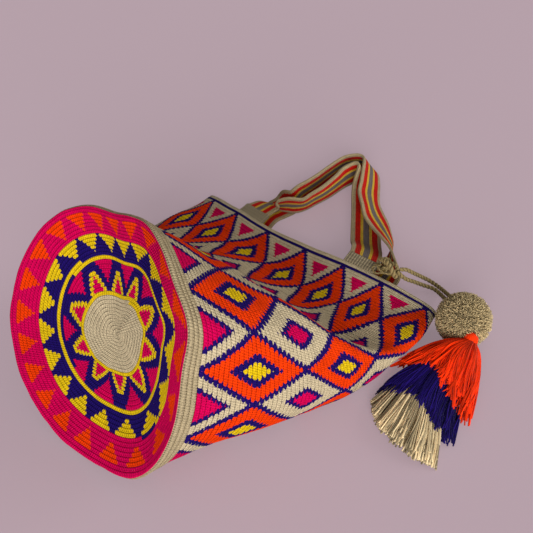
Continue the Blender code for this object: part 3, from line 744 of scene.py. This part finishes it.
def buildTab(name, node, ends, material):
    ridges, seams, relief = straps["tabRidges"], straps["tabSeams"], straps["tabRelief"]

    def place(a, b):
        edge, out = rimPlace(ends[0] + (ends[1] - ends[0]) * a)
        ribs = relief * math.cos(2 * math.pi * ridges * a) - relief * max(0.0, math.cos(2 * math.pi * seams * b)) ** 6
        return edge + out * (straps["gap"] + straps["tabLength"] * b) + Vector((0, 0, ribs))

    bm = bmesh.new()
    layGrid(bm, 120, 18, place, lambda a, b, middle: (b * seams, a * ridges))
    bmesh.ops.recalc_face_normals(bm, faces=bm.faces)
    piece = makePiece(name, bm, (material,), "cream_crochet", [node])
    thick = piece.modifiers.new("thickness", "SOLIDIFY")
    thick.thickness = straps["tabThickness"] - 1.0 * mm
    thick.offset = 0.0


def tabEnd(ends):
    tips = []
    for u in ends:
        edge, out = rimPlace(u)
        tips.append(edge + out * (2 * straps["gap"] + straps["tabLength"]))
    across = (tips[1] - tips[0]).normalized()
    return (tips[0] + tips[1] - across * straps["width"]) / 2, across


def buildStrap(name, node, tabs, route, material):
    start, startAcross = tabEnd(tabs[0])
    end, endAcross = tabEnd(tabs[1])
    lower = [start] + [Vector(low) * cm for low, *_ in route] + [end]
    across = [startAcross] + [(Vector(top) - Vector(low)).normalized() for low, top, *_ in route] + [endAcross]
    cupped = [narrow[0] if narrow else 1.0 for low, top, *narrow in [(0, 0)] + list(route) + [(0, 0)]]
    links, (bowDepth, bowPace) = straps["linksPerPlace"], straps["bow"]
    count = links * (len(lower) - 1) + 1
    path = smoothPath(lower, count)
    ways = [way.normalized() for way in smoothPath(across, count)]
    travelled = [0.0]
    for k in range(1, count):
        travelled.append(travelled[-1] + (path[k] - path[k - 1]).length)

    def place(a, b):
        k = round(b * (count - 1))
        ahead = path[min(k + 1, count - 1)] - path[max(k - 1, 0)]
        up = ways[k].cross(ahead).normalized()
        bow = bowDepth * math.sin(math.pi * a) * math.sin(b * bowPace)
        spot = k / links
        i = min(int(spot), len(cupped) - 2)
        wide = straps["width"] * (cupped[i] + (cupped[i + 1] - cupped[i]) * (spot - i))
        return path[k] + ways[k] * wide * a + up * bow

    bm = bmesh.new()
    layGrid(bm, straps["faces"], count - 1, place, lambda a, b, middle: (a, travelled[round(b * (count - 1))]))
    bmesh.ops.recalc_face_normals(bm, faces=bm.faces)
    piece = makePiece(name, bm, (material,), "striped_webbing", [node])
    thick = piece.modifiers.new("thickness", "SOLIDIFY")
    thick.thickness = straps["thickness"]
    thick.offset = 0.0
    soft = piece.modifiers.new("rounding", "BEVEL")
    soft.width = straps["rounding"]
    soft.segments = 2


charm = {
    "knotCentre": Vector((25.2, -13.39, 2.9)) * cm,
    "knotReach": 9.7 * mm,
    "knotTube": 4.2 * mm,
    "diameter": 4.4 * mm,
    "gap": 0.4 * mm,
    "pompomRadius": 2.7 * cm,
    "pompomPlace": Vector((22.8, -22.7, 0.0)) * cm,
    "upper": ((26.0, -15.1, 2.6), (26.6, -15.7, 1.9), (27.3, -16.2, 1.1), (27.8, -17.0, 0.45),
              (27.5, -18.3, 0.4), (26.4, -19.7, 1.1)),
    "lower": ((25.2, -15.4, 2.2), (25.9, -16.1, 1.5), (26.6, -16.8, 0.8), (27.0, -17.8, 0.45),
              (26.6, -18.8, 0.5), (25.7, -19.8, 1.0)),
    "ends": ((0.26, (2.3, 1.9, -0.3)), (-0.26, (1.9, 2.2, -1.1))),
    "twist": 4.2 * mm,
    "sides": 14,
    "links": 200,
    "knotLinks": 240,
    "loopLinks": 60,
    "knotSwing": 1.7,
    "groove": 0.28,
    "yarnPace": 1.5 * mm,
    "wrap": ((25.4, -12.3, 3.2), (25.0, -12.9, 3.7), (24.6, -13.7, 3.9), (24.2, -14.4, 3.6), (24.1, -14.9, 3.0)),
    "wrapTube": 5.4 * mm,
    "loops": (((24.9, -12.6, 3.2), (24.1, -12.3, 3.1), (23.7, -12.8, 2.9), (24.2, -13.6, 3.1), (24.8, -13.5, 3.4)),
              ((24.6, -12.9, 3.4), (24.0, -12.9, 3.5), (23.9, -13.6, 3.2), (24.3, -14.4, 3.0))),
    "loopTube": 2.4 * mm,
}


# a twisted cord along a path: its plies show as lobes that wind round it
def twistTube(bm, path, radius, plies, twist):
    sides = charm["sides"]
    count = len(path)
    travelled = [0.0]
    for k in range(1, count):
        travelled.append(travelled[-1] + (path[k] - path[k - 1]).length)
    ring = [Vector((0, 0, 1))]
    for k in range(count):
        ahead = path[min(k + 1, count - 1)] - path[max(k - 1, 0)]
        ahead.normalize()
        side = ring[-1] - ahead * ring[-1].dot(ahead)
        ring.append(side.normalized())

    def place(a, b):
        k = round(b * (count - 1))
        ahead = path[min(k + 1, count - 1)] - path[max(k - 1, 0)]
        side = ring[k + 1]
        other = ahead.normalized().cross(side)
        angle = 2 * math.pi * (round(a * sides) % sides) / sides
        wind = plies * (angle - 2 * math.pi * travelled[k] / (plies * twist))
        reach = radius * (1 - charm["groove"] + charm["groove"] * abs(math.cos(wind / 2)))
        return path[k] + reach * (math.cos(angle) * side + math.sin(angle) * other)

    def layout(a, b, middle):
        return a * 3, travelled[round(b * (count - 1))] / charm["yarnPace"]

    layGrid(bm, sides, count - 1, place, layout)


# twisted cotton cord: grooves between its two plies, darkened by painted shade, and the finer twist of the yarn in
# them
def cordYarn():
    made, tree, shader = startMaterial("twistedCottonCord", 0.85, 0.05)
    layout = addNode(tree, "UVMap", uv_map="layout")
    split = addNode(tree, "SeparateXYZ", layout).node
    wound = addNode(tree, "Math", split.outputs["X"], 2.0, split.outputs["Y"], operation="MULTIPLY_ADD")
    wave = addNode(tree, "Math", wound, 0.5, operation="PINGPONG")
    height = addNode(tree, "MapRange", wave, 0.0, 0.4, 0.45, 1.0)
    along = addNode(tree, "Math", split.outputs["Y"], -charm["yarnPace"] / charm["twist"], operation="MULTIPLY")
    ply = addNode(tree, "Math", split.outputs["X"], 2 / 3, along, operation="MULTIPLY_ADD")
    ply = addNode(tree, "Math", ply, 0.5, operation="PINGPONG")
    groove = addNode(tree, "MapRange", ply, 0.5, 0.2, 0.0, 1.0)
    height = addNode(tree, "Math", height, groove, operation="MULTIPLY")
    spinYarn(tree, shader, toLinear(yarnColours["cord"]), height, 0.4 * mm, gap=0.35)
    return made


def cordRoute(route, ends, count):
    offset, way = ends
    start = charm["knotCentre"] + Vector((offset * cm, -charm["knotReach"] - charm["knotTube"] / 2 - charm["gap"], 0))
    ball = charm["pompomPlace"] + Vector((0, 0, charm["pompomRadius"] + charm["gap"]))
    way = Vector(way).normalized()
    end = ball + way * (charm["pompomRadius"] + charm["gap"])
    places = [start, start + Vector((0, -2 * charm["gap"], 0))] + [Vector(spot) * cm for spot in route]
    places += [end + way * 2 * charm["gap"], end]
    return [places[0]] + smoothPath(places[1:-1], count - 2) + [places[-1]]


def capEnds(bm):
    bmesh.ops.remove_doubles(bm, verts=bm.verts, dist=1e-6)
    openEdges = [edge for edge in bm.edges if edge.is_boundary]
    if openEdges:
        bmesh.ops.holes_fill(bm, edges=openEdges, sides=0)
    bmesh.ops.recalc_face_normals(bm, faces=bm.faces)


def buildCords(material):
    made = []
    for name, node, route, ends in (("upperCord", "charm_cord_upper", charm["upper"], charm["ends"][0]),
                                    ("lowerCord", "charm_cord_lower", charm["lower"], charm["ends"][1])):
        path = cordRoute(route, ends, charm["links"])
        bm = bmesh.new()
        twistTube(bm, path, charm["diameter"] / 2, 2, charm["twist"])
        capEnds(bm)
        piece = makePiece(name, bm, (material,), "cream_cord", [node])
        made.append((piece, path))
    return made


# one cord in a trefoil, with a wrap over it and two small loops
def buildKnot(material):
    reach, swing, links = charm["knotReach"], charm["knotSwing"], charm["knotLinks"]
    loop = []
    for k in range(links + 1):
        a = 2 * math.pi * k / links
        loop.append(charm["knotCentre"] + Vector(((math.sin(a) + swing * math.sin(2 * a)) * reach / (1 + swing),
                                                  (math.cos(a) - swing * math.cos(2 * a)) * reach / (1 + swing),
                                                  -math.sin(3 * a) * (charm["knotTube"] / 2 + 2 * charm["gap"]))))
    bm = bmesh.new()
    twistTube(bm, loop, charm["knotTube"] / 2, 2, charm["twist"])
    for route, tube in [(charm["wrap"], charm["wrapTube"])] + [(way, charm["loopTube"]) for way in charm["loops"]]:
        path = smoothPath([Vector(spot) * cm for spot in route], charm["loopLinks"])
        twistTube(bm, path, tube / 2, 2, charm["twist"])
    capEnds(bm)
    makePiece("charmKnot", bm, (material,), "cream_cord", ["charm_knot"])


pompom = {
    "core": 0.85,
    "tufts": 7000,
    "yarn": 0.5 * mm,
    "sunk": 0.8,
    "reach": (0.87, 0.985),
    "stray": 0.3,
}


# a ball of short cut yarn ends over a core painted dark as shade, the tufts painted darker towards their roots
def buildPompom():
    yarn = looseYarn("pompomYarn", "tan", 0.38)
    centre = charm["pompomPlace"] + Vector((0, 0, charm["pompomRadius"] + charm["gap"]))
    radius = charm["pompomRadius"]
    bm = bmesh.new()
    uvs = bm.loops.layers.uv.new("layout")
    bmesh.ops.create_icosphere(bm, subdivisions=3, radius=radius * pompom["core"])
    # painted shade: the core takes the darkest tone
    for face in bm.faces:
        for loop in face.loops:
            loop[uvs].uv = (0.0, 0.0)
    for vert in bm.verts:
        vert.co += centre
    golden = math.pi * (3 - math.sqrt(5))
    for k in range(pompom["tufts"]):
        z = 1 - 2 * (k + 0.5) / pompom["tufts"]
        ring = math.sqrt(1 - z * z)
        way = Vector((ring * math.cos(golden * k), ring * math.sin(golden * k), z))
        lean = pompom["stray"] * Vector([random.uniform(-1, 1) for _ in range(3)])
        root = centre + way * radius * pompom["sunk"]
        tip = centre + (way + lean * 0.35).normalized() * radius * random.uniform(*pompom["reach"])
        tip.z = max(tip.z, charm["gap"])
        side = (tip - root).orthogonal().normalized()
        other = (tip - root).normalized().cross(side)
        shade = random.random()

        def place(a, b, root=root, tip=tip, side=side, other=other):
            angle = 2 * math.pi * a
            reach = pompom["yarn"] * (1.0 - 0.35 * b)
            return root.lerp(tip, b) + reach * (math.cos(angle) * side + math.sin(angle) * other)

        # painted shade: each tuft darker towards the core
        layGrid(bm, 3, 1, place, lambda a, b, middle, shade=shade: (shade, 0.6 * b * b))
    bmesh.ops.remove_doubles(bm, verts=bm.verts, dist=1e-7)
    bmesh.ops.holes_fill(bm, edges=[edge for edge in bm.edges if edge.is_boundary], sides=3)
    return makePiece("pompomBall", bm, (yarn,), "cream_yarn", ["pompom"])


# strands: how many, half their thickness, how much they curl and how uneven they end
# orange, navy, cream: places in cm of a few strands on top of each tier, from the bag's side to the near side
tassel = {
    "head": Vector((20.8, -24.3, 2.9)) * cm,
    "headRadius": 6.5 * mm,
    "headRibs": (12, 0.06),
    "headTall": 1.15,
    "links": 12,
    "tuft": 6,
    "strands": {"cream": (640, 0.7 * mm, 0.035, 0.06), "navy": (760, 0.6 * mm, 0.05, 0.17),
                "orange": (720, 0.6 * mm, 0.06, 0.2)},
    "orange": (((21.1, -24.1, 2.9), (19.7, -22.4, 2.9), (18.1, -20.7, 2.3), (16.2, -19.3, 1.4)),
               ((20.7, -24.2, 3.2), (19.1, -22.9, 3.4), (17.9, -22.1, 3.0), (16.6, -21.6, 2.2)),
               ((20.6, -24.4, 3.3), (18.9, -23.6, 3.6), (17.4, -23.1, 3.2), (16.2, -22.9, 2.4)),
               ((20.4, -24.6, 3.3), (18.8, -24.3, 3.6), (17.1, -24.3, 3.1), (15.6, -24.3, 2.2)),
               ((20.5, -24.7, 3.2), (18.8, -25.1, 3.4), (16.9, -25.5, 2.5), (14.8, -25.9, 1.5)),
               ((20.7, -24.8, 3.0), (19.7, -25.8, 2.5), (17.4, -26.8, 1.4), (14.3, -27.6, 0.6))),
    "navy": (((20.2, -23.2, 2.0), (17.7, -21.5, 1.9), (15.5, -20.1, 1.3), (13.3, -19.4, 0.6)),
             ((19.8, -23.4, 2.2), (16.9, -22.1, 2.3), (15.0, -21.2, 1.7), (13.2, -20.6, 1.0)),
             ((19.6, -23.6, 2.3), (16.5, -22.9, 2.4), (14.6, -22.6, 1.9), (13.3, -22.2, 1.3)),
             ((19.4, -23.8, 2.3), (16.4, -23.8, 2.2), (14.3, -23.9, 1.7), (12.9, -23.9, 1.1)),
             ((19.3, -24.1, 2.1), (16.5, -24.7, 1.8), (14.0, -25.3, 1.3), (11.8, -25.9, 0.8)),
             ((19.6, -24.3, 1.8), (17.2, -25.6, 1.2), (14.7, -26.5, 0.8), (12.2, -27.2, 0.4))),
    "cream": (((19.2, -22.3, 0.9), (16.5, -21.1, 0.9), (14.0, -20.1, 0.8), (11.7, -19.4, 0.5)),
              ((18.9, -22.6, 1.0), (15.5, -21.6, 1.2), (12.9, -21.0, 1.1), (10.3, -20.5, 0.8)),
              ((18.6, -22.8, 1.1), (14.9, -22.3, 1.3), (12.1, -22.1, 1.3), (9.4, -21.9, 1.0)),
              ((18.5, -22.9, 1.1), (14.7, -22.9, 1.3), (11.5, -23.4, 1.3), (9.0, -23.6, 1.0)),
              ((18.4, -23.2, 1.0), (14.8, -23.6, 1.1), (11.6, -24.5, 1.1), (8.7, -25.2, 0.8)),
              ((18.5, -23.4, 0.9), (15.2, -24.5, 0.8), (12.1, -25.9, 0.6), (9.2, -27.0, 0.3))),
}


def buildTier(name, node, yarn, material, slotName):
    links = tassel["links"]
    strands, width, curl, ragged = tassel["strands"][yarn]
    guides = [smoothPath([Vector(spot) * cm for spot in guide], links + 1) for guide in tassel[yarn]]
    last = len(guides) - 1

    def surface(turn, k):
        turn = min(max(turn, 0.0), 1.0) * last
        i = min(int(turn), last - 1)
        return guides[i][k].lerp(guides[i + 1][k], turn - i)

    bm = bmesh.new()
    for strand in range(strands):
        if strand % tassel["tuft"] == 0:
            tuftReach, tuftPhase = random.uniform(-ragged, ragged * 0.45), random.uniform(0, 6.28)
            tuftTurn, tuftDrift, tuftLayer = random.random(), random.uniform(-0.09, 0.09), random.random()
        turn = min(1.0, max(0.0, tuftTurn + random.uniform(-0.03, 0.03)))
        layer = min(1.0, max(0.0, tuftLayer + random.uniform(-0.15, 0.15))) ** 0.6
        reach = 1 + tuftReach + random.uniform(-0.25, 0.1) * ragged
        phase, wave = tuftPhase + random.uniform(-0.7, 0.7), random.uniform(0.3, 1.0) * curl
        drift = tuftDrift + random.uniform(-0.02, 0.02)
        path = []
        for k in range(links + 1):
            t = k / links * reach
            j = min(int(t * links), links - 1)
            bend = turn + drift * t + wave * math.sin(phase + 6.5 * t) * t
            spot = surface(bend, j).lerp(surface(bend, j + 1), t * links - j)
            sunk = 1 - 0.75 * (1 - layer) * min(1.0, 0.35 + t)
            spot.z = max(width, spot.z * sunk + 0.9 * mm * curl * 20 * math.sin(phase * 3 + 8 * t) * t)
            path.append(spot)
        # painted shade: random strand tones, the darkest standing in for shade between strands, darkened further on
        # the lower strands
        shade = random.choice((0.1, 0.55, 1.0)) * (0.25 + 0.75 * layer)

        def place(a, b, path=path):
            k = round(b * links)
            ahead = path[min(k + 1, links)] - path[max(k - 1, 0)]
            side = ahead.cross(Vector((0, 0, 1))).normalized()
            other = side.cross(ahead).normalized()
            angle = 2 * math.pi * a
            return path[k] + width * (math.cos(angle) * side + math.sin(angle) * other)

        layGrid(bm, 4, links, place, lambda a, b, middle, shade=shade: (shade, b * 2))
    bmesh.ops.remove_doubles(bm, verts=bm.verts, dist=1e-7)
    bmesh.ops.holes_fill(bm, edges=[edge for edge in bm.edges if edge.is_boundary], sides=4)
    makePiece(name, bm, (material,), slotName, [node])


# the tight loop of yarn that holds the orange strands at the ball
def buildHead(material):
    bm = bmesh.new()
    uvs = bm.loops.layers.uv.new("layout")
    bmesh.ops.create_uvsphere(bm, u_segments=48, v_segments=24, radius=tassel["headRadius"])
    count, depth = tassel["headRibs"]
    for vert in bm.verts:
        ribs = 1 + depth * math.cos(count * math.atan2(vert.co.y, vert.co.x))
        vert.co = Vector((vert.co.x * ribs, vert.co.y * ribs, vert.co.z * tassel["headTall"])) + tassel["head"]
    for face in bm.faces:
        for loop in face.loops:
            loop[uvs].uv = (0.7, 1.0)
    makePiece("tasselHead", bm, (material,), "orange_yarn", ())


studio = {
    "eye": (-0.207, -0.366, 0.529),
    "axes": ((0.59122, 0.59296, -0.54667), (-0.80299, 0.36959, -0.46755), (-0.07519, 0.71540, 0.69466)),
    "lens": 36 * 700 / 533,
    "ground": "B5A0A9",
    "groundShare": 0.76,
    "groundGlow": 0.52,
    "sky": (1.0, 0.98, 0.98, 1.0),
    "skyStrength": 0.24,
    "floorSize": 4.0,
    "key": ((0.58, -0.77, 0.26), 45, 1.35),
    "fill": ((-0.8, -0.55, 0.24), 50, 3.6),
}


def setCamera():
    camera = bpy.data.cameras.new("photoCamera")
    camera.sensor_width = 36
    camera.lens = studio["lens"]
    holder = bpy.data.objects.new("photoCamera", camera)
    bpy.context.scene.collection.objects.link(holder)
    rows = [list(axis) + [place] for axis, place in zip(studio["axes"], studio["eye"])]
    holder.matrix_world = Matrix(rows + [[0, 0, 0, 1]])
    bpy.context.scene.camera = holder


# a soft sun: the way it shines from, its spread in degrees and its strength
def addSun(name, way, spread, strength):
    lamp = bpy.data.lights.new(name, "SUN")
    lamp.energy = strength
    lamp.angle = math.radians(spread)
    holder = bpy.data.objects.new(name, lamp)
    bpy.context.scene.collection.objects.link(holder)
    holder.rotation_euler = (-Vector(way)).to_track_quat("-Z", "Y").to_euler()


# the paper glows a little where it is looked at, so that it looks even and still takes the bag's shadow
def seamlessPaper():
    made, tree, shader = startMaterial("seamlessPaper", 0.95, 0.0)
    colour = toLinear(studio["ground"])
    shader.inputs["Specular IOR Level"].default_value = 0.0
    shader.inputs["Base Color"].default_value = (*[studio["groundShare"] * part for part in colour[:3]], 1.0)
    shader.inputs["Emission Color"].default_value = colour
    rays = addNode(tree, "LightPath").node.outputs
    seen = addNode(tree, "Math", rays["Is Camera Ray"], rays["Is Glossy Ray"], operation="MAXIMUM")
    seen = addNode(tree, "Math", seen, rays["Is Transmission Ray"], operation="MAXIMUM")
    glow = addNode(tree, "Math", seen, studio["groundGlow"], operation="MULTIPLY")
    tree.links.new(glow, shader.inputs["Emission Strength"])
    return made


def setStudio():
    scene = bpy.context.scene
    scene.view_settings.view_transform = "Standard"
    world = bpy.data.worlds.new("paleRoom")
    scene.world = world
    world.use_nodes = True
    sky = world.node_tree.nodes["Background"]
    sky.inputs["Color"].default_value = studio["sky"]
    sky.inputs["Strength"].default_value = studio["skyStrength"]
    addSun("keySun", *studio["key"])
    addSun("fillSun", *studio["fill"])
    bm = bmesh.new()
    bmesh.ops.create_grid(bm, x_segments=1, y_segments=1, size=studio["floorSize"])
    mesh = bpy.data.meshes.new("paleGround")
    bm.to_mesh(mesh)
    bm.free()
    ground = bpy.data.objects.new("paleGround", mesh)
    scene.collection.objects.link(ground)
    mesh.materials.append(seamlessPaper())
    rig.stage(ground)


setCamera()
setStudio()
print("studio ready")
cordMaterial = cordYarn()
cords = buildCords(cordMaterial)
buildKnot(cordMaterial)
print("cords and knot ready")
ball = buildPompom()
print("pompom ready")
orangeYarn = looseYarn("orangeTasselYarn", "flame", 0.55)
buildTier("creamTier", "cream_tassel", "cream", looseYarn("creamTasselYarn", "ivory", 0.18), "cream_yarn")
buildTier("navyTier", "navy_tassel", "navy", looseYarn("navyTasselYarn", "navy", 0.35), "navy_yarn")
buildTier("orangeTier", "orange_tassel", "orange", orangeYarn, "orange_yarn")
buildHead(orangeYarn)
print("tassel ready")
for (piece, path), end, carried in zip(cords, ("fitting", "object"), ([ball], [])):
    length = sum((b - a).length for a, b in zip(path, path[1:]))
    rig.cord(piece, exit=path[0], length=length, diameter=charm["diameter"], far_end=end,
            stiffness="limp", lay="loose", path=path, with_pieces=carried)
creamCrochet = tabCrochet()
buildTab("frontLeftTab", "front_left_tab", straps["frontTabs"][0], creamCrochet)
buildTab("frontRightTab", "front_right_tab", straps["frontTabs"][1], creamCrochet)
buildTab("backLeftTab", "back_left_tab", straps["backTabs"][0], creamCrochet)
buildTab("backRightTab", "back_right_tab", straps["backTabs"][1], creamCrochet)
webbing = stripedWebbing()
buildStrap("frontStrap", "front_handle", straps["frontTabs"], straps["frontRoute"], webbing)
buildStrap("backStrap", "back_handle", straps["backTabs"], straps["backRoute"], webbing)
print("tabs and straps ready")
buildBag()
print("bag ready")

with open("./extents.json", "w") as sizeFile:
    json.dump([[list(corner) for corner in cadBox], [list(corner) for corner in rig.bounds()]], sizeFile)
